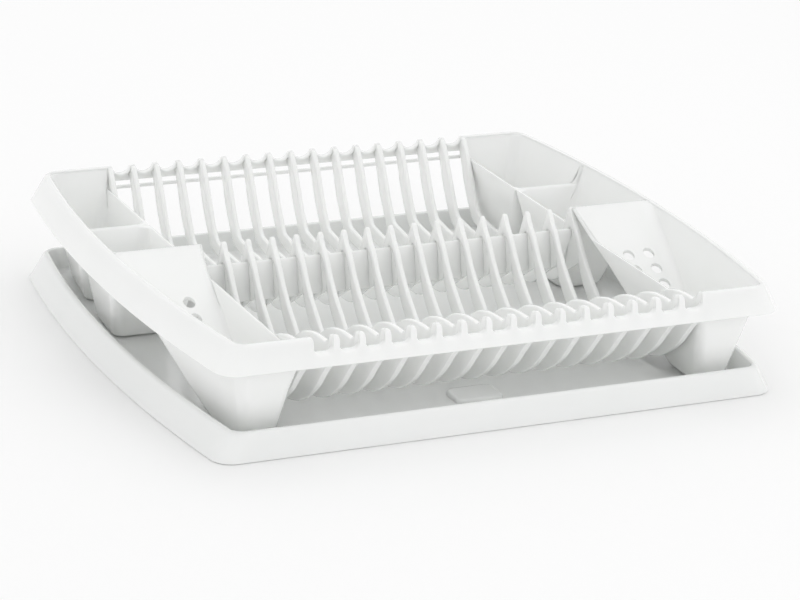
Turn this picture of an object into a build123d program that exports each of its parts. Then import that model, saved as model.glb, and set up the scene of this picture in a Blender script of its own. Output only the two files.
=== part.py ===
from build123d import *
import os

# Dish drying rack: a moulded rack that stands in a moulded drip tray. Millimetres.
# X runs along the long side, Y from front to back, Z up. The origin is the middle of
# the underside of the tray. The rack and the tray have the same rim in plan.

# Rim in plan, measured at the lower edge of its skirt
CORNER_HALF_WIDTH = 226.5  # half the width where the bulged ends meet the long sides
HALF_DEPTH = 208.0
END_BULGE = 17.0  # how far each end bows outwards in its middle
CORNER_RADIUS = 16.0

# Rim in section
SKIRT_HEIGHT = 21.5
END_FLARE = 10.5  # how far the skirt leans outwards at the two ends
SIDE_FLARE = 4.5  # the same along the front and the back
LAND_WIDTH = 4.0
WALL = 2.2

# Heights. The tray stands on the lower edge of its own skirt.
TRAY_RIM_TOP = SKIRT_HEIGHT
TRAY_FLOOR_UNDERSIDE = 1.5
RACK_RIM_TOP = 87.0
STANDING_GAP = 0.3  # left between the rack's feet and the floor of the tray
INNER_WALL_TOP = 70.0  # the bins are lower on the side of the plates

# Plates stand between the ribs
RIB_COUNT = 17
RIB_PITCH = 20.0
RIB_THICKNESS = 3.0
GUSSET_THICKNESS = 1.8  # the thinner plate inside each middle tip
TIP_WIDTH = 2.5  # flat top of a rib where it meets the land, along Y
TIP_DROP = 0.5  # the tips stop this far below the rim's top
DRAWN_LAND_Y = 199.5  # the rib's side view is drawn for a land that starts here
DRAWN_RIM_TOP = 87.0  # and for a rim of this height

# Bins at each end, from back to front. Their walls lean inwards as they go down.
BIN_INNER_X = 162.0  # face towards the plates, at INNER_WALL_TOP
INNER_WALL_LEAN = 0.17  # sideways per unit of height
OUTER_WALL_LEAN = 0.20
END_WALL_LEAN = 0.22
BACK_DIVIDER_Y = 104.0  # ridge between the back bin and the middle bin
FRONT_DIVIDER_Y = 2.0  # ridge between the middle bin and the cutlery bin
MIDDLE_BIN_FRONT_LEAN = 0.42
CUTLERY_FLOOR_SLOPE = 0.57
DRAIN_HOLE_RADIUS = 4.6
DRAIN_HOLE_X = 196.0  # middle of the two columns
DRAIN_HOLE_PITCH_X = 18.0
DRAIN_HOLE_PITCH_Y = 14.0
DRAIN_HOLE_ROWS = 3
FIRST_DRAIN_ROW_DISTANCE = 47.0  # behind the ridge, along Y
BIN_CORNER_RADIUS = 9.0
RIDGE_CLEARANCE = 6.0  # the ridge stays at INNER_WALL_TOP this far to its front and back

# Rails between the bins
FRONT_SCALLOP_DEPTH = 11.5
FRONT_SCALLOP_WIDTH = 15.5
FRONT_SCALLOP_RADIUS = 5.0
BACK_SCALLOP_DEPTH = 6.5
BACK_SCALLOP_WIDTH = 16.0
BACK_WINDOW_HEIGHT = 4.5
BACK_BAR_HEIGHT = 2.8

# Web that ties the ribs together under their middle tips. It leans forwards as it goes down.
WEB_TOP_Y = 2.0
WEB_BOTTOM_Y = -5.0
WEB_TOP = 69.5
WEB_BOTTOM = 40.0
WEB_THICKNESS = 2.4

# Thin bar under the front cradles
TIE_BAR_Y = -110.5
TIE_BAR_SIZE = 2.8

# Raised pad in the floor of the tray, at the middle of its front
PAD_WIDTH = 38.0
PAD_DEPTH = 26.0
PAD_HEIGHT = 4.0
PAD_FROM_FRONT = 56.0  # from the middle of the pad to the foot of the tray's skirt
PAD_CORNER_RADIUS = 6.0
PAD_EDGE_RADIUS = 2.0

TRAY_WALL_LEAN = 3.0  # how far the tray's inner wall leans over its height

TRAY_FLOOR_TOP = TRAY_FLOOR_UNDERSIDE + WALL
FOOT_Z = TRAY_FLOOR_TOP + STANDING_GAP
RACK_SKIRT_BOTTOM = RACK_RIM_TOP - SKIRT_HEIGHT
LAND_INNER_Y = HALF_DEPTH - SIDE_FLARE - LAND_WIDTH
RIB_SPAN = (RIB_COUNT - 1) * RIB_PITCH
HALF_SPAN = RIB_SPAN / 2
CUT_MARGIN = 5.0  # how far cutting shapes run past what they cut
FAR = 600.0  # larger than the whole object, for cutting blocks


def plan_face(end_inset, side_inset, z, radius):
    """Rim outline moved inwards by the two insets: straight long sides, bowed ends, round corners."""
    half_width = CORNER_HALF_WIDTH - end_inset
    half_depth = HALF_DEPTH - side_inset
    outline = (
        Line((-half_width, -half_depth), (half_width, -half_depth))
        + ThreePointArc((half_width, -half_depth), (half_width + END_BULGE, 0), (half_width, half_depth))
        + Line((half_width, half_depth), (-half_width, half_depth))
        + ThreePointArc((-half_width, half_depth), (-half_width - END_BULGE, 0), (-half_width, -half_depth))
    )
    face = make_face(outline)
    return Pos(0, 0, z) * fillet(face.vertices(), radius)


def tapered_block(bottom_insets, bottom_z, top_insets, top_z, radius=CORNER_RADIUS):
    """Solid between two rim outlines at different heights."""
    return loft([plan_face(*bottom_insets, bottom_z, radius), plan_face(*top_insets, top_z, radius)])


def block(x0, x1, y0, y1, z0, z1):
    """Box between two corners."""
    return Pos((x0 + x1) / 2, (y0 + y1) / 2, (z0 + z1) / 2) * Box(x1 - x0, y1 - y0, z1 - z0)


def side_prism(points, x0, x1):
    """Outline of (y, z) points, pushed along X from x0 to x1."""
    face = make_face(Polyline(*[(x0, y, z) for y, z in points], close=True))
    return extrude(face, amount=x1 - x0, dir=(1, 0, 0))


def front_prism(points, y0, y1):
    """Outline of (x, z) points, pushed along Y from y0 to y1."""
    face = make_face(Polyline(*[(x, y0, z) for x, z in points], close=True))
    return extrude(face, amount=y1 - y0, dir=(0, 1, 0))


def mirrored(solid):
    """The same solid on the other side of the object's middle plane."""
    return mirror(solid, about=Plane.YZ)


def rim_ring(top_z, dips=(), dips_below=()):
    """Closed rim: a skirt that leans outwards as it goes down, under a narrow flat land.

    Where dips are cut into its top, dips_below are cut into the space under it.
    """
    bottom_z = top_z - SKIRT_HEIGHT
    outside = tapered_block((0, 0), bottom_z, (END_FLARE, SIDE_FLARE), top_z)
    under_land = tapered_block((WALL, WALL), bottom_z, (END_FLARE + WALL, SIDE_FLARE + WALL), top_z)
    under_land &= block(-FAR, FAR, -FAR, FAR, bottom_z - 1, top_z - WALL)
    opening_insets = (END_FLARE + LAND_WIDTH, SIDE_FLARE + LAND_WIDTH)
    opening = tapered_block(opening_insets, bottom_z - 1, opening_insets, top_z + 1, BIN_CORNER_RADIUS)
    if dips:
        outside -= dips
        under_land -= dips_below
    return outside - under_land - opening


def slot_middles():
    """The x of the middle of each gap between two neighbouring ribs."""
    return [(slot + 0.5) * RIB_PITCH - HALF_SPAN for slot in range(RIB_COUNT - 1)]


def back_scallops():
    """Round cuts along Y through the back rail."""
    radius = ((BACK_SCALLOP_WIDTH / 2) ** 2 + BACK_SCALLOP_DEPTH**2) / (2 * BACK_SCALLOP_DEPTH)
    axis_z = RACK_RIM_TOP - BACK_SCALLOP_DEPTH + radius
    length = HALF_DEPTH - LAND_INNER_Y + 2 * CUT_MARGIN
    middle_y = (HALF_DEPTH + LAND_INNER_Y) / 2
    return [Pos(x, middle_y, axis_z) * Rot(90, 0, 0) * Cylinder(radius, length) for x in slot_middles()]


def front_dips(grow):
    """Flat-bottomed cuts along Y through the front rail, larger by grow on every side."""
    half = FRONT_SCALLOP_WIDTH / 2 + grow
    bottom = RACK_RIM_TOP - FRONT_SCALLOP_DEPTH - grow
    cuts = []
    for x in slot_middles():
        y0, y1 = -HALF_DEPTH - CUT_MARGIN, -LAND_INNER_Y + CUT_MARGIN
        cut = block(x - half, x + half, y0, y1, bottom, RACK_RIM_TOP + CUT_MARGIN)
        low_edges = cut.edges().filter_by(Axis.Y).sort_by(Axis.Z)[:2]
        cuts.append(fillet(low_edges, FRONT_SCALLOP_RADIUS + grow))
    return cuts


def drawn(*point):
    """A point (y, z) of the rib's side view, stretched to the rack's own depth and height."""
    y, z = point
    return (y * LAND_INNER_Y / DRAWN_LAND_Y, z * RACK_RIM_TOP / DRAWN_RIM_TOP)


def rib_outline():
    """Side view of one rib in (y, z), from the back tip over the two cradles to the front tip."""
    tip_z = RACK_RIM_TOP - TIP_DROP
    land_z = RACK_RIM_TOP - WALL
    skirt_top_y = HALF_DEPTH - WALL - SIDE_FLARE * (1 - WALL / SKIRT_HEIGHT)
    skirt_low = (HALF_DEPTH - WALL, RACK_SKIRT_BOTTOM)
    front_tip = (TIP_WIDTH - LAND_INNER_Y, tip_z)
    back_tip = (LAND_INNER_Y - TIP_WIDTH, tip_z)
    edge = Polyline((LAND_INNER_Y, land_z), (LAND_INNER_Y, tip_z), back_tip)
    edge += Polyline(back_tip, drawn(163, 32), drawn(152, 28.5), drawn(34, 25))
    edge += ThreePointArc(drawn(34, 25), drawn(24, 29), drawn(18, 40))
    edge += ThreePointArc(drawn(18, 40), drawn(13, 66), drawn(7, 82))
    edge += ThreePointArc(drawn(7, 82), drawn(5, 86.5), drawn(2.5, 83.5))
    edge += ThreePointArc(drawn(2.5, 83.5), drawn(-8.5, 71.5), drawn(-20.5, 56))
    edge += ThreePointArc(drawn(-20.5, 56), drawn(-39.5, 37.5), drawn(-62, 22))
    edge += ThreePointArc(drawn(-62, 22), drawn(-78, 19), drawn(-94, 25.5))
    edge += Line(drawn(-94, 25.5), drawn(-136, 61))
    edge += ThreePointArc(drawn(-136, 61), drawn(-160, 74.5), drawn(-183, 77.5))
    edge += ThreePointArc(drawn(-183, 77.5), drawn(-191, 78.5), front_tip)
    edge += Polyline(front_tip, (-LAND_INNER_Y, tip_z), (-LAND_INNER_Y, land_z))
    edge += Polyline((-LAND_INNER_Y, land_z), (-skirt_top_y, land_z), (-skirt_low[0], skirt_low[1]))
    edge += ThreePointArc((-skirt_low[0], skirt_low[1]), drawn(-175, 35), drawn(-112, 9))
    edge += Line(drawn(-112, 9), drawn(-78, 9))
    edge += ThreePointArc(drawn(-78, 9), drawn(-55, 12), drawn(-36, 22))
    edge += Polyline(drawn(-36, 22), drawn(-22, 36), drawn(-15.5, 46), drawn(0, 31))
    edge += ThreePointArc(drawn(0, 31), drawn(9, 24.5), drawn(20, 20.5))
    edge += Polyline(drawn(20, 20.5), drawn(60, 16.5), drawn(160, 18.5))
    edge += ThreePointArc(drawn(160, 18.5), drawn(171, 22), drawn(178, 30))
    edge += Polyline(drawn(178, 30), skirt_low, (skirt_top_y, land_z), (LAND_INNER_Y, land_z))
    return edge


def rib():
    """Flat rib with a bead along its cradles: inside the middle tip it is recessed on both faces."""
    solid = extrude(make_face(Plane.YZ * rib_outline()), amount=RIB_THICKNESS / 2, both=True)
    recess = [drawn(-15.5, 46), drawn(-13, 54), drawn(-9, 63), drawn(1, 70.5), drawn(4.5, 70.5)]
    recess += [drawn(4.5, 50), drawn(8, 35), drawn(13, 20), drawn(-15.5, 20)]
    solid -= side_prism(recess, GUSSET_THICKNESS / 2, RIB_THICKNESS)
    return solid - side_prism(recess, -RIB_THICKNESS, -GUSSET_THICKNESS / 2)


def bin_space(back_line, front_line, inset, z0, z1):
    """Tapered space inside the rim at the right-hand end, less the inset of its wall.

    back_line and front_line give the y of the back and front face at two heights,
    as ((y, z), (y, z)) from the bottom up.
    """
    height = RACK_RIM_TOP - z0
    end_top = END_FLARE + LAND_WIDTH - WALL + inset
    side_top = SIDE_FLARE + LAND_WIDTH - WALL + inset
    end_bottom = end_top + OUTER_WALL_LEAN * height
    side_bottom = side_top + END_WALL_LEAN * height
    rise = z1 - RACK_RIM_TOP
    space = tapered_block(
        (end_bottom, side_bottom),
        z0,
        (end_top - OUTER_WALL_LEAN * rise, side_top - END_WALL_LEAN * rise),
        z1,
        BIN_CORNER_RADIUS + WALL - inset,
    )
    low_x = BIN_INNER_X + inset + INNER_WALL_LEAN * (INNER_WALL_TOP - z0)
    high_x = BIN_INNER_X + inset + INNER_WALL_LEAN * (INNER_WALL_TOP - z1)
    space &= front_prism([(low_x, z0), (FAR, z0), (FAR, z1), (high_x, z1)], -FAR, FAR)
    return space & side_prism([front_line[0], back_line[0], back_line[1], front_line[1]], 0, FAR)


def line_at(y_top, lean, z0, z1):
    """Two points of a wall that passes through y_top at the height of the rim."""
    return ((y_top + lean * (RACK_RIM_TOP - z0), z0), (y_top + lean * (RACK_RIM_TOP - z1), z1))


def make_bin(back_wall, front_wall):
    """One open-topped tub. Each wall is (y at rim height, lean, way from its outside to its inside)."""
    outer = []
    inner = []
    inner_z0 = FOOT_Z + WALL
    inner_z1 = RACK_RIM_TOP + 5
    for y_top, lean, inwards in (back_wall, front_wall):
        offset = inwards * WALL * (1 + lean**2) ** 0.5
        outer.append(line_at(y_top, lean, FOOT_Z, RACK_RIM_TOP))
        inner.append(line_at(y_top + offset, lean, inner_z0, inner_z1))
    tub = bin_space(outer[0], outer[1], 0, FOOT_Z, RACK_RIM_TOP)
    tub -= bin_space(inner[0], inner[1], WALL, inner_z0, inner_z1)
    tub &= block(BIN_INNER_X, FAR, -FAR, FAR, 0, FAR)
    return tub - rim_ring(RACK_RIM_TOP)


def lower_inner_wall(tub):
    """Takes the wall beside the plates down to its own height, between the front and back faces."""
    reach = BIN_INNER_X + WALL + 1
    return tub - block(0, reach, FRONT_DIVIDER_Y + 1, LAND_INNER_Y - WALL, INNER_WALL_TOP, FAR)


def lower_ridge(tub):
    """Takes the ridge between two bins down to INNER_WALL_TOP, inside the wall of the rack's end."""
    low, high = INNER_WALL_TOP, RACK_RIM_TOP + CUT_MARGIN
    behind = BACK_DIVIDER_Y + RIDGE_CLEARANCE
    before = BACK_DIVIDER_Y - RIDGE_CLEARANCE
    return tub - bin_space(((behind, low), (behind, high)), ((before, low), (before, high)), WALL, low, high)


def back_bin():
    lean = END_WALL_LEAN
    ridge_rise = RACK_RIM_TOP - INNER_WALL_TOP
    tub = make_bin((FAR / 2, 0, 0), (BACK_DIVIDER_Y - lean * ridge_rise, lean, 1))
    tub &= block(0, FAR, BACK_DIVIDER_Y, FAR, 0, FAR)
    return lower_ridge(lower_inner_wall(tub))


def middle_bin():
    lean = END_WALL_LEAN
    ridge_rise = RACK_RIM_TOP - INNER_WALL_TOP
    back_wall = (BACK_DIVIDER_Y + lean * ridge_rise, -lean, -1)
    tub = make_bin(back_wall, (FRONT_DIVIDER_Y, MIDDLE_BIN_FRONT_LEAN, 1))
    tub &= block(0, FAR, 0, BACK_DIVIDER_Y, 0, FAR)
    return lower_ridge(lower_inner_wall(tub))


def drain_holes():
    """Two columns of round holes through the sloping floor, upright, as the mould leaves them."""
    cuts = []
    for column in (-0.5, 0.5):
        for row in range(DRAIN_HOLE_ROWS):
            x = DRAIN_HOLE_X + column * DRAIN_HOLE_PITCH_X
            y = FRONT_DIVIDER_Y - FIRST_DRAIN_ROW_DISTANCE - row * DRAIN_HOLE_PITCH_Y
            cuts.append(Pos(x, y, RACK_RIM_TOP / 2) * Cylinder(DRAIN_HOLE_RADIUS, RACK_RIM_TOP))
    return cuts


def cutlery_bin():
    """Large front bin: its floor rises from the deep front end to the ridge at rim height."""
    lean = 1 / CUTLERY_FLOOR_SLOPE
    under_y = FRONT_DIVIDER_Y + WALL * (1 + lean**2) ** 0.5
    tub = make_bin((under_y, -lean, -1), (-FAR / 2, 0, 0))
    top_low, top_high = line_at(FRONT_DIVIDER_Y, -lean, INNER_WALL_TOP, RACK_RIM_TOP)
    under_low, under_high = line_at(under_y, -lean, INNER_WALL_TOP, RACK_RIM_TOP)
    wall_cut = block(0, BIN_INNER_X + WALL + 1, -LAND_INNER_Y + WALL, under_y, INNER_WALL_TOP, FAR)
    tub -= wall_cut - side_prism([top_low, top_high, under_high, under_low], 0, FAR)
    middle_low, middle_high = line_at(FRONT_DIVIDER_Y, MIDDLE_BIN_FRONT_LEAN, 0, RACK_RIM_TOP)
    tub -= side_prism([middle_low, middle_high, (FAR, RACK_RIM_TOP), (FAR, 0)], 0, FAR)
    return tub - drain_holes()


def tray_shell():
    """Floor of the tray with walls that rise to the inside of the rim's land."""
    end_top = END_FLARE + LAND_WIDTH
    side_top = SIDE_FLARE + LAND_WIDTH
    outside = tapered_block(
        (end_top + TRAY_WALL_LEAN - WALL, side_top + TRAY_WALL_LEAN - WALL),
        TRAY_FLOOR_UNDERSIDE,
        (end_top - WALL, side_top - WALL),
        TRAY_RIM_TOP,
        BIN_CORNER_RADIUS,
    )
    inside = tapered_block(
        (end_top + TRAY_WALL_LEAN, side_top + TRAY_WALL_LEAN),
        TRAY_FLOOR_TOP,
        (end_top, side_top),
        TRAY_RIM_TOP,
        BIN_CORNER_RADIUS,
    )
    return outside - inside


def split_ends(ring, half_length):
    """Left end, right end, front and back of a closed ring."""
    left = ring & block(-FAR, -half_length, -FAR, FAR, -FAR, FAR)
    right = ring & block(half_length, FAR, -FAR, FAR, -FAR, FAR)
    front = ring & block(-half_length, half_length, -FAR, 0, -FAR, FAR)
    back = ring & block(-half_length, half_length, 0, FAR, -FAR, FAR)
    return left, right, front, back


parts = {}

# Rack: ribs, from left to right
rib_blank = rib()
rib_middles = [index * RIB_PITCH - HALF_SPAN for index in range(RIB_COUNT)]
ribs = [Pos(x, 0, 0) * rib_blank for x in rib_middles]
for index, solid in enumerate(ribs):
    parts[f"plate_rib_{index + 1:02d}"] = solid

# Rack: rim and rails. The front rail is slotted for the ends of the ribs.
rim_left, rim_right, _, rail_back = split_ends(rim_ring(RACK_RIM_TOP), BIN_INNER_X)
parts["rack_rim_left"] = rim_left
parts["rack_rim_right"] = rim_right
dipped_ring = rim_ring(RACK_RIM_TOP, front_dips(0), front_dips(WALL))
parts["front_rail"] = split_ends(dipped_ring, BIN_INNER_X)[2] - ribs
window_bottom = RACK_SKIRT_BOTTOM + BACK_BAR_HEIGHT
window_top = window_bottom + BACK_WINDOW_HEIGHT
back_rail = rail_back & block(-FAR, FAR, 0, FAR, window_top, FAR)
parts["back_rail"] = back_rail - back_scallops()
parts["back_bar"] = rail_back & block(-FAR, FAR, 0, FAR, 0, window_bottom)

# Rack: bins
for name, tub in (("back_bin", back_bin()), ("middle_bin", middle_bin()), ("cutlery_bin", cutlery_bin())):
    parts[name + "_right"] = tub
    parts[name + "_left"] = mirrored(tub)

# Rack: web between the ribs, and the bar under them
half_web = WEB_THICKNESS / 2
web_outline = [(WEB_BOTTOM_Y - half_web, WEB_BOTTOM), (WEB_BOTTOM_Y + half_web, WEB_BOTTOM)]
web_outline += [(WEB_TOP_Y + half_web, WEB_TOP), (WEB_TOP_Y - half_web, WEB_TOP)]
panel_half_width = (RIB_PITCH - GUSSET_THICKNESS) / 2
panels = [side_prism(web_outline, x - panel_half_width, x + panel_half_width) for x in slot_middles()]
parts["middle_web"] = Compound(children=panels)
bar_y, bar_top = drawn(TIE_BAR_Y, 9)
half_bar = TIE_BAR_SIZE / 2
bar_end = HALF_SPAN + RIB_THICKNESS / 2
parts["front_tie_bar"] = block(-bar_end, bar_end, bar_y - half_bar, bar_y + half_bar,
                               bar_top - TIE_BAR_SIZE, bar_top)

# Drip tray
shell = tray_shell()
pad_y = PAD_FROM_FRONT - HALF_DEPTH
pad = block(-PAD_WIDTH / 2, PAD_WIDTH / 2, pad_y - PAD_DEPTH / 2, pad_y + PAD_DEPTH / 2,
            TRAY_FLOOR_TOP, TRAY_FLOOR_TOP + PAD_HEIGHT)
pad = fillet(pad.edges().filter_by(Axis.Z), PAD_CORNER_RADIUS)
pad = fillet(pad.faces().sort_by(Axis.Z)[-1].edges(), PAD_EDGE_RADIUS)
tray_left, tray_right, tray_front, tray_back = split_ends(rim_ring(TRAY_RIM_TOP) + shell, BIN_INNER_X)
floor_insets = (END_FLARE + LAND_WIDTH + TRAY_WALL_LEAN, SIDE_FLARE + LAND_WIDTH + TRAY_WALL_LEAN)
floor_block = tapered_block(floor_insets, 0, floor_insets, TRAY_FLOOR_TOP, BIN_CORNER_RADIUS)
parts["tray_floor"] = shell & floor_block
parts["tray_rim_left"] = tray_left - floor_block
parts["tray_rim_right"] = tray_right - floor_block
parts["tray_rim_front"] = tray_front - floor_block
parts["tray_rim_back"] = tray_back - floor_block
parts["tray_pad"] = pad

os.makedirs("parts", exist_ok=True)
for name, solid in parts.items():
    export_step(solid, f"parts/{name}.step")
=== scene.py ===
import math
import bpy
import bmesh
import numpy as np
from mathutils import Matrix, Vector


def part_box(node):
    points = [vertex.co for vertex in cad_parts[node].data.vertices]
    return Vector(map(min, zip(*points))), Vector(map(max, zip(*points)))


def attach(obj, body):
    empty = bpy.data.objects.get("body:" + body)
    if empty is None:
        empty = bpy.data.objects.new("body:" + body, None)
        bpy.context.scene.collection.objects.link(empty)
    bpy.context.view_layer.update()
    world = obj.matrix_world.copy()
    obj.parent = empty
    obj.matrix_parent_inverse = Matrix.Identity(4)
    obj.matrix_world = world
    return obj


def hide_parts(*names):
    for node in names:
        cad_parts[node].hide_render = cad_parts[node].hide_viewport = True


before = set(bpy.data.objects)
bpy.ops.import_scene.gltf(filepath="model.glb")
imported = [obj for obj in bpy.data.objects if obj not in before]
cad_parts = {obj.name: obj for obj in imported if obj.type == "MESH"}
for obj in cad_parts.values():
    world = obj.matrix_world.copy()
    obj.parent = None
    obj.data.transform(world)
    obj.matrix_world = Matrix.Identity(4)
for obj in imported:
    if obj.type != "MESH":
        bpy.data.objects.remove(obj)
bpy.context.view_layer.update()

# Drip tray: a shallow tray of gloss polypropylene, injection moulded in one shot. Its rim is a
# skirt that leans out as it goes down, under a narrow land, and the tray stands on the skirt.
MM = 0.001
rim_low, rim_high = [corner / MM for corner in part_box("tray_rim_right")]
END_BULGE = 17.0
CORNER_HALF_WIDTH = rim_high.x - END_BULGE
HALF_DEPTH = rim_high.y
SKIRT_HEIGHT = rim_high.z
END_FLARE = 10.5
SIDE_FLARE = 4.5
LAND_WIDTH = 4.0
WALL = 2.2
RIM_CORNER = 16.0
OPENING_CORNER = 9.0
TRAY_WALL_LEAN = 3.0
EDGE_ROUND = 1.8
LIP_ROUND = 1.2
FOOT_ROUND = 0.6
SHARP_ANGLE = math.radians(38)  # edges that turn more than this stay crisp


def moulded_surface_group():
    """Effects of an injection moulding: faint flow clouds in the colour, and a shallow orange peel."""
    group = bpy.data.node_groups.new("moulded_surface", "ShaderNodeTree")
    face = group.interface
    face.new_socket("Colour", in_out="INPUT", socket_type="NodeSocketColor")
    face.new_socket("Cloud Colour", in_out="INPUT", socket_type="NodeSocketColor")
    face.new_socket("Smooth", in_out="INPUT", socket_type="NodeSocketFloat")
    face.new_socket("Scuffed", in_out="INPUT", socket_type="NodeSocketFloat")
    face.new_socket("Colour", in_out="OUTPUT", socket_type="NodeSocketColor")
    face.new_socket("Roughness", in_out="OUTPUT", socket_type="NodeSocketFloat")
    face.new_socket("Height", in_out="OUTPUT", socket_type="NodeSocketFloat")
    nodes, links = group.nodes, group.links
    inputs = nodes.new("NodeGroupInput")
    outputs = nodes.new("NodeGroupOutput")
    place = nodes.new("ShaderNodeTexCoord")

    def noise(scale, detail):
        node = nodes.new("ShaderNodeTexNoise")
        node.inputs["Scale"].default_value = scale
        node.inputs["Detail"].default_value = detail
        links.new(place.outputs["Object"], node.inputs["Vector"])
        return node.outputs["Fac"]

    def spread(value, low, high, to_low, to_high):
        node = nodes.new("ShaderNodeMapRange")
        limits = (("From Min", low), ("From Max", high), ("To Min", to_low), ("To Max", to_high))
        for name, limit in limits:
            node.inputs[name].default_value = limit
        links.new(value, node.inputs["Value"])
        return node.outputs["Result"]

    tint = nodes.new("ShaderNodeMix")
    tint.data_type = "RGBA"
    links.new(spread(noise(14.0, 3.0), 0.35, 0.7, 0.0, 1.0), tint.inputs[0])
    links.new(inputs.outputs["Colour"], tint.inputs[6])
    links.new(inputs.outputs["Cloud Colour"], tint.inputs[7])
    links.new(tint.outputs[2], outputs.inputs["Colour"])
    gloss = nodes.new("ShaderNodeMix")
    links.new(spread(noise(60.0, 5.0), 0.45, 0.75, 0.0, 1.0), gloss.inputs[0])
    links.new(inputs.outputs["Smooth"], gloss.inputs[2])
    links.new(inputs.outputs["Scuffed"], gloss.inputs[3])
    links.new(gloss.outputs[0], outputs.inputs["Roughness"])
    peel = nodes.new("ShaderNodeMath")
    peel.operation = "MULTIPLY_ADD"
    links.new(noise(420.0, 1.0), peel.inputs[0])
    peel.inputs[1].default_value = 0.12
    links.new(noise(35.0, 1.0), peel.inputs[2])
    links.new(peel.outputs[0], outputs.inputs["Height"])
    return group


moulded_surface = moulded_surface_group()


def gloss_polypropylene(name, colour, cloud, smooth, scuffed):
    """Slightly translucent gloss plastic with the moulded surface's own colours and gloss."""
    material = bpy.data.materials.new(name)
    material.use_nodes = True
    nodes, links = material.node_tree.nodes, material.node_tree.links
    shader = nodes["Principled BSDF"]
    effect = nodes.new("ShaderNodeGroup")
    effect.node_tree = moulded_surface
    effect.inputs["Colour"].default_value = (*colour, 1)
    effect.inputs["Cloud Colour"].default_value = (*cloud, 1)
    effect.inputs["Smooth"].default_value = smooth
    effect.inputs["Scuffed"].default_value = scuffed
    bump = nodes.new("ShaderNodeBump")
    bump.inputs["Strength"].default_value = 0.12
    bump.inputs["Distance"].default_value = 0.0006
    links.new(effect.outputs["Colour"], shader.inputs["Base Color"])
    links.new(effect.outputs["Roughness"], shader.inputs["Roughness"])
    links.new(effect.outputs["Height"], bump.inputs["Height"])
    links.new(bump.outputs["Normal"], shader.inputs["Normal"])
    shader.inputs["IOR"].default_value = 1.49
    shader.inputs["Subsurface Weight"].default_value = 0.3
    shader.inputs["Subsurface Radius"].default_value = (1.0, 1.0, 0.95)
    shader.inputs["Subsurface Scale"].default_value = 0.006
    return material


tray_plastic = gloss_polypropylene(
    "tray_polypropylene", (0.925, 0.935, 0.922), (0.905, 0.92, 0.905), smooth=0.1, scuffed=0.18
)


def add_piece(name, shells, material, body, slot, *nodes):
    """One mesh of closed shells, each (points in millimetres, faces), turned to face outwards."""
    points, faces, first = [], [], 0
    for shell_points, shell_faces in shells:
        flat = np.asarray(shell_points, float).reshape(-1, 3) * MM
        points.append(flat)
        faces += [[first + corner for corner in face] for face in shell_faces]
        first += len(flat)
    mesh = bpy.data.meshes.new(name)
    mesh.from_pydata(np.concatenate(points).tolist(), [], faces)
    work = bmesh.new()
    work.from_mesh(mesh)
    bmesh.ops.remove_doubles(work, verts=work.verts, dist=2e-6)
    bmesh.ops.dissolve_degenerate(work, edges=work.edges, dist=2e-6)
    bmesh.ops.recalc_face_normals(work, faces=work.faces)
    work.to_mesh(mesh)
    work.free()
    mesh.shade_smooth()
    mesh.set_sharp_from_angle(angle=SHARP_ANGLE)
    mesh.materials.append(material)
    piece = bpy.data.objects.new(name, mesh)
    bpy.context.scene.collection.objects.link(piece)
    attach(piece, body)
    if nodes:
        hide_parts(*nodes)
    return piece


def loft_faces(rows, columns, capped=True):
    """Quads between neighbouring rows of a grid whose columns close into a ring.

    Capped, the first and last rows are filled. Otherwise the last row joins the first.
    """
    index = np.arange(rows * columns).reshape(rows, columns)
    lower = index[:-1] if capped else index
    upper = index[1:] if capped else np.roll(index, -1, axis=0)
    quads = np.stack([lower, np.roll(lower, -1, axis=1), np.roll(upper, -1, axis=1), upper], axis=-1)
    faces = quads.reshape(-1, 4).tolist()
    if capped:
        faces += [index[0].tolist(), index[-1].tolist()]
    return faces


def bowed_end(end_inset, side_inset, corner):
    """x and y of the right end, from front to back: round corner, bowed arc, round corner.

    The arc passes through the ends of the straight sides and bulges in the middle. The corner is
    a circle that touches both the side and the arc.
    """
    half_depth = HALF_DEPTH - side_inset
    radius = (half_depth**2 + END_BULGE**2) / (2 * END_BULGE)
    centre = CORNER_HALF_WIDTH - end_inset + END_BULGE - radius
    corner_y = half_depth - corner
    corner_x = centre + np.sqrt((radius - corner) ** 2 - corner_y**2)
    tangent = np.arctan2(corner_y, corner_x - centre)
    turn = -math.pi / 2 + np.linspace(0, 1, 10) * (math.pi / 2 - tangent)
    turn_x = corner_x + corner * np.cos(turn)
    turn_y = -corner_y + corner * np.sin(turn)
    sweep = np.linspace(-1, 1, 50)[1:-1] * tangent
    x = np.concatenate([turn_x, centre + radius * np.cos(sweep), turn_x[:, ::-1]], axis=1)
    y = np.concatenate([turn_y, radius * np.sin(sweep), -turn_y[:, ::-1]], axis=1)
    return x, y


def round_steps(radius, steps=4):
    """Inward and downward distances of a quarter circle from a side face to a top face."""
    turn = np.linspace(0, math.pi / 2, steps)
    return list(zip(radius * (1 - np.cos(turn)), -radius * (1 - np.sin(turn))))


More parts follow.
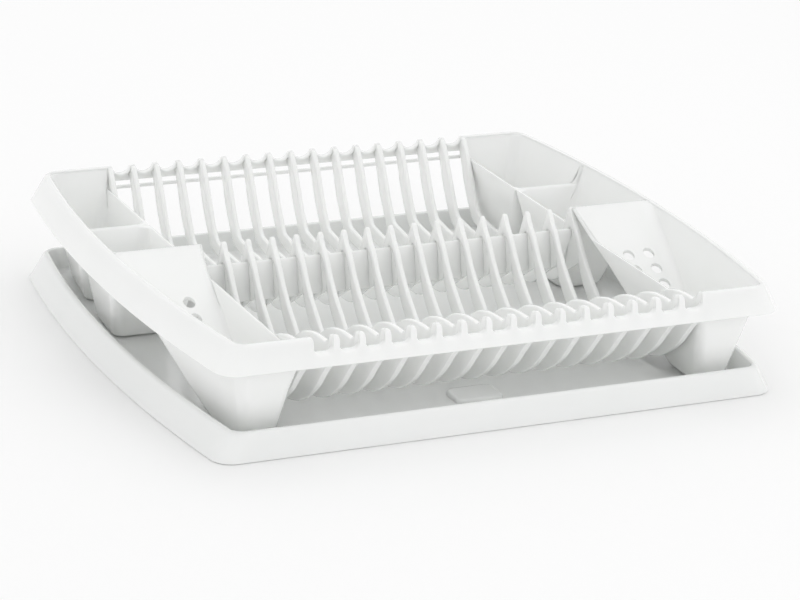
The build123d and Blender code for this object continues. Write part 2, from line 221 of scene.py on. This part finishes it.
def tray_rows():
    """Rows (end inset, side inset, z, corner) from the floor's underside round the rim to its top."""
    end_wall, side_wall = END_FLARE + LAND_WIDTH, SIDE_FLARE + LAND_WIDTH
    floor_under, floor_top = [corner.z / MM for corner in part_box("tray_floor")]
    rows = []
    for inset, rise in ((6.0, 0.0), (3.0, 0.3), (0.8, 1.4), (0.0, 3.5)):
        inward = TRAY_WALL_LEAN - WALL + inset
        rows.append((end_wall + inward, side_wall + inward, floor_under + rise, RIM_CORNER))
    rows.append((end_wall - WALL, side_wall - WALL, SKIRT_HEIGHT - WALL, OPENING_CORNER))
    rows.append((END_FLARE + WALL, SIDE_FLARE + WALL, SKIRT_HEIGHT - WALL, RIM_CORNER))
    foot = ((WALL, FOOT_ROUND), (WALL - FOOT_ROUND, 0.0), (FOOT_ROUND, 0.0), (0.0, FOOT_ROUND))
    for inset, rise in foot:
        rows.append((inset, inset, rise, RIM_CORNER))
    for share in (0.35, 0.7):
        rows.append((share * END_FLARE, share * SIDE_FLARE, share * SKIRT_HEIGHT, RIM_CORNER))
    for inward, drop in round_steps(EDGE_ROUND):
        share = 1 + drop / SKIRT_HEIGHT
        end, side = share * END_FLARE + inward, share * SIDE_FLARE + inward
        rows.append((end, side, SKIRT_HEIGHT + drop, RIM_CORNER))
    for inward, drop in reversed(round_steps(LIP_ROUND)):
        rows.append((end_wall - inward, side_wall - inward, SKIRT_HEIGHT + drop, OPENING_CORNER))
    for inset, rise in ((0.0, 4.0), (0.8, 1.6), (3.0, 0.35), (6.5, 0.0)):
        inward = TRAY_WALL_LEAN + inset
        rows.append((end_wall + inward, side_wall + inward, floor_top + rise, OPENING_CORNER))
    return np.array(rows)


rows = tray_rows()
end_x, end_y = bowed_end(rows[:, :1], rows[:, 1:2], rows[:, 3:4])
tray_points = np.empty((len(rows), 2 * end_x.shape[1], 3))
tray_points[:, :, 0] = np.concatenate([end_x, -end_x[:, ::-1]], axis=1)
tray_points[:, :, 1] = np.concatenate([end_y, end_y[:, ::-1]], axis=1)
tray_points[:, :, 2] = rows[:, 2:3]
tray_shell = (tray_points, loft_faces(*tray_points.shape[:2]))
add_piece("drip_tray_shell", [tray_shell], tray_plastic, "drip_tray", "tray_plastic",
          "tray_floor", "tray_rim_left", "tray_rim_right", "tray_rim_front", "tray_rim_back")

# Pad in the tray's floor: a low block raised at the middle of the front, with soft edges. It is
# moulded with the tray.
pad_low, pad_high = [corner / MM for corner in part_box("tray_pad")]
PAD_CORNER = 6.0


def rounded_ring(low, high, radius, steps=8):
    """x and y of a rectangle with round corners, as a closed ring. Its corners may be arrays of rows."""
    turn = np.linspace(0, math.pi / 2, steps)
    x, y = [], []
    for quarter, (right, back) in enumerate(((1, 1), (0, 1), (0, 0), (1, 0))):
        angle = turn + quarter * math.pi / 2
        centre_x = high[0] - radius if right else low[0] + radius
        centre_y = high[1] - radius if back else low[1] + radius
        x.append(centre_x + radius * np.cos(angle))
        y.append(centre_y + radius * np.sin(angle))
    return np.concatenate(x, axis=-1), np.concatenate(y, axis=-1)


pad_shrink = np.array([[0.0], [0.0], [0.3], [1.0], [2.2]])
pad_drop = np.array([[2.2], [1.0], [0.25], [0.0]])
pad_z = np.concatenate([[[pad_low.z]], pad_high.z - pad_drop])
pad_x, pad_y = rounded_ring((pad_low.x + pad_shrink, pad_low.y + pad_shrink),
                            (pad_high.x - pad_shrink, pad_high.y - pad_shrink), PAD_CORNER - pad_shrink)
pad_points = np.stack([pad_x, pad_y, pad_z + 0 * pad_x], axis=-1)
add_piece("tray_pad_raised", [(pad_points, loft_faces(*pad_x.shape))], tray_plastic,
          "drip_tray", "tray_plastic", "tray_pad")

# Rim of the rack: gloss polypropylene, with the same skirt and land as the tray's. Along the front
# the land dips between the ribs in flat-bottomed scallops. Along the back it dips in round ones and
# the skirt is only a strip. The bins and the ribs are moulded with it.
rack_low, rack_high = [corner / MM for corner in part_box("rack_rim_right")]
RACK_TOP = rack_high.z
RACK_SKIRT_LOW = rack_low.z
BIN_INNER_X = rack_low.x
RIB_COUNT = 17
RIB_PITCH = 20.0
HALF_SPAN = (RIB_COUNT - 1) * RIB_PITCH / 2
BACK_STRIP_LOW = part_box("back_rail")[0].z / MM
rack_plastic = gloss_polypropylene(
    "rack_polypropylene", (0.935, 0.942, 0.93), (0.915, 0.927, 0.912), smooth=0.11, scuffed=0.19
)
SKIN = 1.9  # thickness of the dipped land, measured square to it


def front_scallop():
    """Half of one front scallop, from its middle to the middle of the nub: (x, dip, normal x, normal z).

    A flat bottom, a quarter circle, an upright side, and a quarter circle over the nub.
    """
    depth, half_width, radius, nub = 11.5, 7.75, 5.0, 2.0
    up = np.linspace(0, math.pi / 2, 8)
    over = np.linspace(0, math.pi / 2, 6)[1:]
    flat = half_width - radius
    x = [np.linspace(0, flat, 3)[:2], flat + radius * np.sin(up), [half_width],
         half_width + nub * (1 - np.cos(over)), [RIB_PITCH / 2]]
    dip = [[depth, depth], depth - radius * (1 - np.cos(up)), [nub], nub * (1 - np.sin(over)), [0.0]]
    normal_x = [[0, 0], np.sin(up), [1], np.cos(over), [0]]
    normal_z = [[1, 1], np.cos(up), [0], np.sin(over), [1]]
    return [np.concatenate(part) for part in (x, dip, normal_x, normal_z)]


def back_scallop():
    """Half of one back scallop, from its middle to the middle of the nub: a circular arc, then flat."""
    depth, half_width = 6.5, 8.0
    radius = (half_width**2 + depth**2) / (2 * depth)
    turn = np.linspace(0, math.asin(half_width / radius), 10)
    x = [radius * np.sin(turn), [half_width + 0.5, RIB_PITCH / 2]]
    dip = [depth - radius * (1 - np.cos(turn)), [0.0, 0.0]]
    normal_x = [np.sin(turn), [0.7, 0.0]]
    normal_z = [np.cos(turn), [0.7, 1.0]]
    return [np.concatenate(part) for part in (x, dip, normal_x, normal_z)]


def rail_line(half, low):
    """Stations of a rail from left to right: outer x and dip, inner x and dip, foot x, skirt bottom.

    The half scallop is mirrored and repeated for every gap between ribs. The inner line lies SKIN
    below it along its normal. Foot x spreads the stations evenly along the bottom of the skirt.
    """
    x, dip, normal_x, normal_z = half
    length = np.concatenate([[0], np.cumsum(np.hypot(np.diff(x), np.diff(dip)))])
    foot = (x + length / length[-1] * RIB_PITCH / 2) / 2
    whole = []
    inner_x, inner_dip = x + SKIN * normal_x, dip + SKIN * normal_z
    for values, sign in ((x, -1), (dip, 1), (inner_x, -1), (inner_dip, 1), (foot, -1)):
        whole.append(np.concatenate([sign * values[:0:-1], values]))
    gaps = RIB_COUNT - 1
    middles = (np.arange(gaps) + 0.5) * RIB_PITCH - HALF_SPAN
    line = [whole[0] + middles[:, None], np.tile(whole[1], (gaps, 1)), whole[2] + middles[:, None],
            np.tile(whole[3], (gaps, 1)), whole[4] + middles[:, None]]
    line = [np.concatenate([values[:, :-1].ravel(), values[-1, -1:]]) for values in line]
    edge = np.array([BIN_INNER_X, BIN_INNER_X + 0.01])
    flat = (edge, 0 * edge, edge, 0 * edge + SKIN, edge)
    line = [np.concatenate([-side[::-1] if n in (0, 2, 4) else side, values, side])
            for n, (side, values) in enumerate(zip(flat, line))]
    bottom = np.full(len(line[0]), low)
    bottom[[0, -1]] = RACK_SKIRT_LOW
    return line + [bottom]


def rim_profile():
    """Rows of the rim's closed section: (height share, rise, inset, on the opening, inner side)."""
    rows = [(0, FOOT_ROUND, 0, 0, 0), (0.35, 0, 0, 0, 0), (0.7, 0, 0, 0, 0)]
    rows += [(1, drop, inward, 0, 0) for inward, drop in round_steps(EDGE_ROUND)]
    rows += [(1, drop, -inward, 1, 0) for inward, drop in reversed(round_steps(LIP_ROUND))]
    rows += [(1, 0, 0, 1, 1), (1, 0, WALL, 0, 1), (0.7, 0, WALL, 0, 1), (0.35, 0, WALL, 0, 1)]
    rows += [(0, FOOT_ROUND, WALL, 0, 1), (0, 0, WALL - FOOT_ROUND, 0, 1), (0, 0, FOOT_ROUND, 0, 0)]
    return np.array(rows, float)


def rim_side(line, profile, flare):
    """x, inset and z of one long side of the rim: the section carried along the rail's stations."""
    outer_x, outer_dip, inner_x, inner_dip, foot_x, bottom = line
    share, rise, inset, opening, inner = [profile[:, n : n + 1] for n in range(5)]
    top_x = np.where(inner > 0, inner_x, outer_x)
    x = foot_x + share * (top_x - foot_x)
    top = RACK_TOP - np.where(inner > 0, inner_dip, outer_dip)
    z = bottom + share * (top - bottom) + rise
    leaned = (z - RACK_SKIRT_LOW) / SKIRT_HEIGHT * flare + inset
    return x, np.where(opening > 0, flare + LAND_WIDTH + inset, leaned), z


profile = rim_profile()
front_x, front_inset, front_z = rim_side(rail_line(front_scallop(), RACK_SKIRT_LOW), profile, SIDE_FLARE)
back_x, back_inset, back_z = rim_side(rail_line(back_scallop(), BACK_STRIP_LOW), profile, SIDE_FLARE)
end_line = [np.array([value]) for value in (0.0, 0.0, 0.0, SKIN, 0.0, RACK_SKIRT_LOW)]
_, end_inset, end_z = rim_side(end_line, profile, END_FLARE)
_, side_inset, _ = rim_side(end_line, profile, SIDE_FLARE)
end_corner = np.where(profile[:, 3:4] > 0, OPENING_CORNER, RIM_CORNER)
end_x, end_y = bowed_end(end_inset, side_inset, end_corner)
rim_x = np.concatenate([front_x, end_x, back_x[:, ::-1], -end_x[:, ::-1]], axis=1)
front_y, back_y = front_inset - HALF_DEPTH, HALF_DEPTH - back_inset
rim_y = np.concatenate([front_y, end_y, back_y[:, ::-1], end_y[:, ::-1]], axis=1)
level_z = end_z + 0 * end_x
rim_z = np.concatenate([front_z, level_z, back_z[:, ::-1], level_z], axis=1)
rim_shell = (np.stack([rim_x, rim_y, rim_z], axis=-1), loft_faces(*rim_x.shape, capped=False))
add_piece("rack_rim", [rim_shell], rack_plastic, "rack", "rack_plastic",
          "rack_rim_left", "rack_rim_right", "front_rail", "back_rail")

# Bars: a thin bar closes the window under the back rail, and another ties the ribs together under
# the front cradles. Both are moulded with the rack.


def bar_shell(low, high, radius):
    """A section with round corners in (y, z), carried along X between the two ends."""
    y, z = rounded_ring((low.y, low.z), (high.y, high.z), radius, steps=4)
    ends = np.array([low.x, high.x])[:, None] + 0 * y
    return np.stack([ends, y + 0 * ends, z + 0 * ends], axis=-1), loft_faces(2, len(y))


BAR_EDGE = 0.9
for node in ("back_bar", "front_tie_bar"):
    low, high = [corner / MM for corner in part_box(node)]
    add_piece(node + "_moulded", [bar_shell(low, high, BAR_EDGE)], rack_plastic,
              "rack", "rack_plastic", node)

# Bins: three tapered tubs at each end, moulded with the rack, whose feet stand in the tray. Beside
# the plates and on the ridge between the two small bins their walls are lower than the rim. The
# floor of the cutlery bin slopes up to the ridge and has six drain holes.
BIN_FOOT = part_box("cutlery_bin_right")[0].z / MM
LOW_WALL_TOP = 70.0
HIDDEN_TOP = RACK_TOP - 1.3  # these walls end inside the land
BIN_CORNER = 9.0
FOOT_CORNER = 4.0
INNER_LEAN, OUTER_LEAN, END_LEAN = 0.17, 0.20, 0.22
BACK_RIDGE_Y = 104.0
FRONT_RIDGE_Y = 2.0
MIDDLE_LEAN = 0.42
MIDDLE_WALL = WALL * 1.085  # measured along Y through the leaning wall
FLOOR_LEAN = 1 / 0.57
SIDE_STEPS = 16


def bin_columns():
    """Stations round a bin: wall number, share along the wall, and share round the corner after it.

    The walls follow each other as front, outer, back and inner.
    """
    wall = np.linspace(0, 1, SIDE_STEPS)[1:-1]
    corner = np.linspace(0, 1, 11)
    number, along, turned = [], [], []
    for side in range(4):
        number += [side] * (len(wall) + len(corner))
        along += [*wall, *np.ones(len(corner))]
        turned += [*np.zeros(len(wall)), *corner]
    return np.array(number), np.array(along), np.array(turned)


def bin_tops(tops, inner_bends):
    """Top height of each station: that of its wall, easing into the next wall's round the corner."""
    number, _, turned = bin_columns()
    tops = np.array(tops)
    bend = np.array(inner_bends)[number]
    share = np.clip(turned * bend[:, 0] + bend[:, 1], 0, 1)
    ease = share**2 * (3 - 2 * share)
    return tops[number] * (1 - ease) + tops[(number + 1) % 4] * ease


def corner_radius(kind, z, skin):
    """Radius of an upright corner of a bin at each height.

    A plain corner keeps its radius. A shared one is filled on the outside towards the given height,
    where it meets the next bin. A stepped one is nearly sharp where the low wall meets a high one.
    """
    name, height = kind
    if name == "plain":
        return np.full_like(z, BIN_CORNER)
    reach = 25.0 if name == "shared" else 14.0
    tight = 1.0 + (BIN_CORNER - 1.0) * np.clip((height - z) / reach, 0, 1)
    return tight if name == "stepped" else BIN_CORNER + (1 - skin) * (tight - BIN_CORNER)


def bin_loop(z, skin, shrink, y_front, y_back, corners):
    """x and y of each station at its height, on the outside (skin 0) or the inside (skin 1) of the wall.

    A rectangle with round corners is stretched between the leaning inner wall and the bowed outer
    wall, and between the leaning front and back walls. Each wall starts where the corner before it
    ends, and then turns its own corner.
    """
    number, along, turned = bin_columns()
    below = RACK_TOP - z
    end_inset = END_FLARE + LAND_WIDTH - WALL * (1 - skin) + OUTER_LEAN * below
    side_inset = SIDE_FLARE + LAND_WIDTH - WALL * (1 - skin) + END_LEAN * below
    half_depth = HALF_DEPTH - side_inset
    radius = (half_depth**2 + END_BULGE**2) / (2 * END_BULGE)
    x_low = BIN_INNER_X + WALL * skin + INNER_LEAN * (LOW_WALL_TOP - z) + shrink
    front = np.maximum(y_front(z, skin), -half_depth) + shrink
    back = np.minimum(y_back(z, skin), half_depth) - shrink
    middle = (front + back) / 2
    arc = CORNER_HALF_WIDTH - end_inset + END_BULGE - radius
    width = arc + np.sqrt(radius**2 - middle**2) - shrink - x_low
    depth = back - front
    radii = [corner_radius(kind, z, skin) for kind in corners]
    room = np.minimum(width, depth) * 0.45
    after = np.maximum(np.minimum(np.choose(number, radii), room) - shrink * 0.7, 0.6)
    before = np.maximum(np.minimum(np.choose((number + 3) % 4, radii), room) - shrink * 0.7, 0.6)
    half_run = np.where(number % 2, depth, width) / 2
    half_across = np.where(number % 2, width, depth) / 2
    angle = turned * math.pi / 2
    run = before - half_run + along * (2 * half_run - before - after) + after * np.sin(angle)
    across = half_across - after * (1 - np.cos(angle))
    u = np.choose(number, [run, across, -run, -across])
    v = np.choose(number, [-across, run, across, -run])
    y = middle + v
    x_high = arc + np.sqrt(radius**2 - y**2) - shrink
    return x_low + (u / width + 0.5) * (x_high - x_low), y


def bin_shell(tops, inner_bends, y_front, y_back, corners):
    """Closed shell of a bin: up the outside from its foot, over the edge, and down the inside."""
    top = bin_tops(tops, inner_bends)
    rows = []
    foot = ((0.0, FOOT_CORNER), (0.3, FOOT_CORNER * 0.55), (1.3, FOOT_CORNER * 0.2), (3.4, 0.0))
    for rise, shrink in foot:
        rows.append((0.0, shrink, BIN_FOOT + rise + 0 * top))
    for share in (0.25, 0.5, 0.75):
        rows.append((0.0, 0.0, BIN_FOOT + 3.4 + share * (top - BIN_FOOT - 4.4)))
    for skin, drop in ((0.0, 1.0), (0.15, 0.3), (0.5, 0.0), (0.85, 0.3), (1.0, 1.0)):
        rows.append((skin, 0.0, top - drop))
    floor = BIN_FOOT + WALL
    for share in (0.75, 0.5, 0.25):
        rows.append((1.0, 0.0, floor + 3.4 + share * (top - floor - 4.4)))
    for rise, shrink in reversed(foot):
        rows.append((1.0, shrink, floor + rise + 0 * top))
    points = np.empty((len(rows), len(top), 3))
    for row, (skin, shrink, z) in enumerate(rows):
        points[row, :, 0], points[row, :, 1] = bin_loop(z, skin, shrink, y_front, y_back, corners)
        points[row, :, 2] = z
    return points, loft_faces(*points.shape[:2])


def flipped(points):
    """The same points on the other side of the rack's middle plane."""
    return points * np.array([-1.0, 1.0, 1.0])


def free_wall(z, skin):
    """A wall that the rim's own end or side sets: nothing else limits it."""
    return np.full_like(z, 1000.0)


def ridge_side(way):
    """One face of the ridge between the small bins: it leans away from the ridge as it goes down."""
    return lambda z, skin: BACK_RIDGE_Y + way * (
        WALL * skin + END_LEAN * (LOW_WALL_TOP - np.minimum(z, LOW_WALL_TOP))
    )


def middle_front(z, skin):
    """The middle bin's front wall: its foot lies well behind the ridge."""
    return FRONT_RIDGE_Y + MIDDLE_WALL * skin + MIDDLE_LEAN * (RACK_TOP - z)


def cutlery_floor(z, skin):
    """The sloping floor: its upper face meets the ridge, and the next bin's wall bounds its underside."""
    upper = FRONT_RIDGE_Y - FLOOR_LEAN * (RACK_TOP - z)
    thickness = WALL * math.hypot(1, FLOOR_LEAN)
    within = FRONT_RIDGE_Y + WALL / 2 + MIDDLE_LEAN * (RACK_TOP - z)
    return np.where(skin < 1, np.minimum(upper + thickness * (1 - skin), within), upper)


EVEN, EARLY, LATE = (1, 0), (2.2, 0), (2.2, -1.2)
PLAIN, STEPPED = ("plain", 0.0), ("stepped", LOW_WALL_TOP + 2)
SHARED_LOW, SHARED_HIGH = ("shared", LOW_WALL_TOP), ("shared", RACK_TOP)
bins = {
    "back_bin": ((LOW_WALL_TOP, HIDDEN_TOP, HIDDEN_TOP, LOW_WALL_TOP), (EARLY, EVEN, LATE, EVEN),
                 ridge_side(1), free_wall, (STEPPED, PLAIN, STEPPED, SHARED_LOW)),
    "middle_bin": ((RACK_TOP, HIDDEN_TOP, LOW_WALL_TOP, LOW_WALL_TOP), (EVEN, LATE, EVEN, EARLY),
                   middle_front, ridge_side(-1), (SHARED_HIGH, STEPPED, SHARED_LOW, STEPPED)),
    "cutlery_bin": ((HIDDEN_TOP, HIDDEN_TOP, RACK_TOP, LOW_WALL_TOP), (EVEN, EVEN, LATE, EARLY),
                    lambda z, skin: -free_wall(z, skin), cutlery_floor,
                    (PLAIN, SHARED_HIGH, STEPPED, STEPPED)),
}
DRAIN_HOLE_RADIUS = 4.6
DRAIN_HOLE_X, DRAIN_HOLE_PITCH_X = 196.0, 18.0
DRAIN_HOLE_ROWS_Y = (-45.0, -59.0, -73.0)


def drain_cutters(sign):
    """Upright cylinders where the six drain holes go."""
    turn = np.linspace(0, 2 * math.pi, 40, endpoint=False)
    shells = []
    for column in (-0.5, 0.5):
        for y in DRAIN_HOLE_ROWS_Y:
            x = sign * (DRAIN_HOLE_X + column * DRAIN_HOLE_PITCH_X)
            ring_x, ring_y = x + DRAIN_HOLE_RADIUS * np.cos(turn), y + DRAIN_HOLE_RADIUS * np.sin(turn)
            ends = [np.column_stack([ring_x, ring_y, np.full(len(turn), z)])
                    for z in (BIN_FOOT + 5, RACK_TOP + 5)]
            shells.append((np.stack(ends), loft_faces(2, len(turn))))
    return shells


def drill(piece, shells):
    """Cuts the shells out of the piece for good."""
    cutter = add_piece("drain_cutter", shells, rack_plastic, "rack", "rack_plastic")
    modifier = piece.modifiers.new("drain_holes", "BOOLEAN")
    modifier.object = cutter
    modifier.solver = "MANIFOLD"
    result = piece.evaluated_get(bpy.context.evaluated_depsgraph_get())
    drilled = bpy.data.meshes.new_from_object(result)
    piece.modifiers.clear()
    piece.data = drilled
    drilled.set_sharp_from_angle(angle=SHARP_ANGLE)
    bpy.data.objects.remove(cutter)


for node, (tops, bends, y_front, y_back, corners) in bins.items():
    points, faces = bin_shell(tops, bends, y_front, y_back, corners)
    for side, sign in (("left", -1), ("right", 1)):
        placed = points if sign > 0 else flipped(points)
        tub = add_piece(f"{node}_{side}_tub", [(placed, faces)], rack_plastic,
                        "rack", "rack_plastic", f"{node}_{side}")
        if node == "cutlery_bin":
            drill(tub, drain_cutters(sign))

# Ribs: seventeen flat ribs, one between every two plates, moulded with the rack. Each is a bar that
# follows both cradles, with a thinner gusset inside its middle tip. All their edges are rounded.
GUSSET_THICKNESS = 1.8
GUSSET_EDGE = 0.3
BAR_THICKNESS = 4.0
BAR_ROUND = 1.3
NUB_THICKNESS = 5.2  # the ribs swell towards the nubs of the front rail
NUB_START_Y = -176.0
NUB_LENGTH = 18.0


def smooth_line(points, marks, counts):
    """Points along a smooth line, with counts[n] steps from mark n to mark n + 1.

    A cubic runs between each two points. Its direction at a point is the mean of the two chords'
    directions, each weighted by the length of the other.
    """
    points = np.array(points, float)
    chords = np.diff(points, axis=0)
    lengths = np.linalg.norm(chords, axis=1, keepdims=True)
    heading = chords / lengths
    mean = heading[:-1] * lengths[1:] + heading[1:] * lengths[:-1]
    mean /= np.linalg.norm(mean, axis=1, keepdims=True)
    tangent = np.concatenate([heading[:1], mean, heading[-1:]])
    spans = zip(marks[:-1], marks[1:], counts)
    place = np.concatenate([np.linspace(a, b, n, endpoint=False) for a, b, n in spans] + [[marks[-1]]])
    first = np.minimum(place.astype(int), len(points) - 2)
    t = (place - first)[:, None]
    start, end, reach = points[first], points[first + 1], lengths[first]
    return ((2 * t**3 - 3 * t**2 + 1) * start + (t**3 - 2 * t**2 + t) * reach * tangent[first]
            + (3 * t**2 - 2 * t**3) * end + (t**3 - t**2) * reach * tangent[first + 1])


def band_shell(upper, lower, thickness, radius):
    """A plate across X between two lines in (y, z), with its long edges rounded.

    Its thickness is one value, or a column with one value for each station.
    """
    half = thickness / 2 + np.zeros((len(upper), 1))
    turn = np.linspace(0, math.pi / 2, 4)
    inward = radius * (1 - np.cos(turn))
    out = half - radius + radius * np.sin(turn)
    length = np.linalg.norm(lower - upper, axis=1)[:, None]
    near = inward / length
    face_share = np.concatenate([near, 0.5 + 0 * length, 1 - near[:, ::-1]], axis=1)
    face_x = np.concatenate([out, half, out[:, ::-1]], axis=1)
    share = np.concatenate([face_share, face_share[:, ::-1]], axis=1)
    x = np.concatenate([face_x, -face_x], axis=1)
    spread = upper[:, None, :] + share[:, :, None] * (lower - upper)[:, None, :]
    return np.concatenate([x[:, :, None], spread], axis=2), loft_faces(*x.shape)


# Points (y, z) in millimetres along the upper and the lower edge of a bar, from back to front.
upper_points = [
    (202.5, 86.0), (197.5, 86.2), (195.5, 84.0), (180, 59.5), (166, 37), (160, 30.5), (150, 28.5),
    (95, 27), (44, 25.3), (31, 25.8), (23.5, 29.5), (18, 40), (13, 66), (8, 80), (6.6, 84.2),
    (5, 86.5), (3.4, 85.2), (1.5, 82), (-8.5, 71.5), (-20.5, 56), (-39.5, 37.5), (-62, 22),
    (-78, 19), (-94, 25.5), (-115, 43.3), (-134, 59.4), (-146, 69.2), (-160, 74.8), (-173, 77),
    (-183, 77.5), (-190, 78), (-194.5, 81.5), (-197.5, 86.0), (-202, 86.0),
]
lower_points = [
    (203, 76), (199.5, 70.5), (188, 47), (176, 29), (168, 21), (158, 18.5), (100, 17.2),
    (60, 16.5), (20, 20), (12.5, 26), (8, 35), (4.8, 50), (4.6, 66), (3.6, 69.5), (2, 70.3),
    (-1.5, 69), (-9, 63), (-13, 54), (-16, 46), (-22, 36), (-36, 22), (-54, 12.2), (-78, 9),
    (-112, 9), (-134, 11.5), (-150, 17.2), (-163, 25.5), (-176, 37), (-185, 48.5), (-195, 60),
    (-204.5, 68),
]
stations = (36, 22, 26, 8, 40, 40, 40)
upper_line = smooth_line(upper_points, (0, 6, 9, 14, 16, 21, 25, 33), stations)
lower_line = smooth_line(lower_points, (0, 5, 8, 13, 15, 21, 23, 30), stations)
nub = np.clip((NUB_START_Y - upper_line[:, :1]) / NUB_LENGTH, 0, 1)
bar_thickness = BAR_THICKNESS + (NUB_THICKNESS - BAR_THICKNESS) * nub
bar = band_shell(upper_line, lower_line, bar_thickness, BAR_ROUND)
gusset_front = smooth_line([(2, 72), (-8, 65), (-12.5, 55.5), (-15.5, 46.5)], (0, 3), (12,))
gusset_rear = smooth_line([(4.5, 72), (5.8, 62), (6, 48), (9.5, 34), (13, 26.5)], (0, 4), (12,))
gusset = band_shell(gusset_front, gusset_rear, GUSSET_THICKNESS, GUSSET_EDGE)
for number in range(RIB_COUNT):
    shift = np.array([number * RIB_PITCH - HALF_SPAN, 0, 0])
    shells = [(points + shift, faces) for points, faces in (bar, gusset)]
    node = f"plate_rib_{number + 1:02d}"
    add_piece(node + "_moulded", shells, rack_plastic, "rack", "rack_plastic", node)

# Web: a slanting plate that runs from rib to rib under their middle tips. Near its ends its lower
# edge is cut away on a slope.
web_low, web_high = [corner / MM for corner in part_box("middle_web")]
WEB_HALF = 1.2
END_CUT_START = 147.0
END_CUT_SLOPE = 2.0


def web_shell():
    """A slanting section with round edges, carried along X while its lower edge rises at both ends."""
    x = np.array([-1, -0.98, -0.96, -0.94, -0.92, 0.92, 0.94, 0.96, 0.98, 1]) * web_high.x
    cut = np.maximum(np.abs(x) - END_CUT_START, 0) * END_CUT_SLOPE
    turn = np.linspace(0, math.pi, 7)
    across = WEB_HALF * np.concatenate([np.cos(turn), -np.cos(turn)])
    past = WEB_HALF * np.concatenate([np.sin(turn), -np.sin(turn)])
    height = np.concatenate([np.ones(7), np.zeros(7)])
    low = (web_low.z + cut)[:, None]
    z = low + WEB_HALF + height * (web_high.z - low - 2 * WEB_HALF) + past
    share = (z - web_low.z) / (web_high.z - web_low.z)
    top_y, low_y = web_high.y - WEB_HALF, web_low.y + WEB_HALF
    y = low_y + share * (top_y - low_y) + across
    return np.stack([x[:, None] + 0 * z, y, z], axis=-1), loft_faces(*z.shape)


add_piece("middle_web_plate", [web_shell()], rack_plastic, "rack", "rack_plastic", "middle_web")

# Floor: a plain pale worktop, which isn't part of the rack.
FLOOR_REACH = 6.0  # metres
FLOOR_GAP = 0.0003  # metres between it and the foot of the tray
floor_mesh = bpy.data.meshes.new("floor")
floor_corners = []
for x, y in ((-1, -1), (1, -1), (1, 1), (-1, 1)):
    floor_corners.append((x * FLOOR_REACH, y * FLOOR_REACH, -FLOOR_GAP))
floor_mesh.from_pydata(floor_corners, [], [(0, 1, 2, 3)])
floor = bpy.data.objects.new("floor", floor_mesh)
bpy.context.scene.collection.objects.link(floor)
floor_paint = bpy.data.materials.new("pale_floor")
floor_paint.use_nodes = True
floor_shader = floor_paint.node_tree.nodes["Principled BSDF"]
floor_shader.inputs["Base Color"].default_value = (0.97, 0.97, 0.97, 1)
floor_shader.inputs["Roughness"].default_value = 0.9
floor_shader.inputs["Specular IOR Level"].default_value = 0.1
floor_mesh.materials.append(floor_paint)

# Light: a bright room all round, and two large soft lamps above.
world = bpy.data.worlds.new("studio")
bpy.context.scene.world = world
world.use_nodes = True
world.node_tree.nodes["Background"].inputs["Color"].default_value = (1, 1, 1, 1)
world.node_tree.nodes["Background"].inputs["Strength"].default_value = 0.95


def soft_lamp(name, place, size, power):
    """A square lamp that faces the middle of the rack."""
    lamp = bpy.data.lights.new(name, "AREA")
    lamp.size = size
    lamp.energy = power
    holder = bpy.data.objects.new(name, lamp)
    bpy.context.scene.collection.objects.link(holder)
    holder.location = place
    holder.rotation_euler = (-holder.location).to_track_quat("-Z", "Y").to_euler()


soft_lamp("top_lamp", (0.3, 0.6, 2.2), 1.6, 3)
soft_lamp("front_lamp", (0.9, -2.2, 1.2), 1.2, 2.5)

# Camera: a long lens, a little above the front left corner.
AZIMUTH, ELEVATION, ROLL = (math.radians(angle) for angle in (26.557, 20.089, 3.414))
camera_data = bpy.data.cameras.new("view")
camera = bpy.data.objects.new("view", camera_data)
bpy.context.scene.collection.objects.link(camera)
camera.location = (-0.97785, -1.97529, 0.83269)
camera.rotation_euler = (math.pi / 2 - ELEVATION, 0, -AZIMUTH)
camera_data.sensor_width = 36
camera_data.lens = 134.94
camera_data.clip_end = 50  # metres, beyond the floor's far edge
bpy.context.view_layer.update()
tilt = camera.matrix_world.to_3x3() @ Matrix.Rotation(ROLL, 3, "Z")
camera.rotation_euler = tilt.to_euler()
bpy.context.scene.camera = camera
bpy.context.scene.view_settings.view_transform = "Standard"
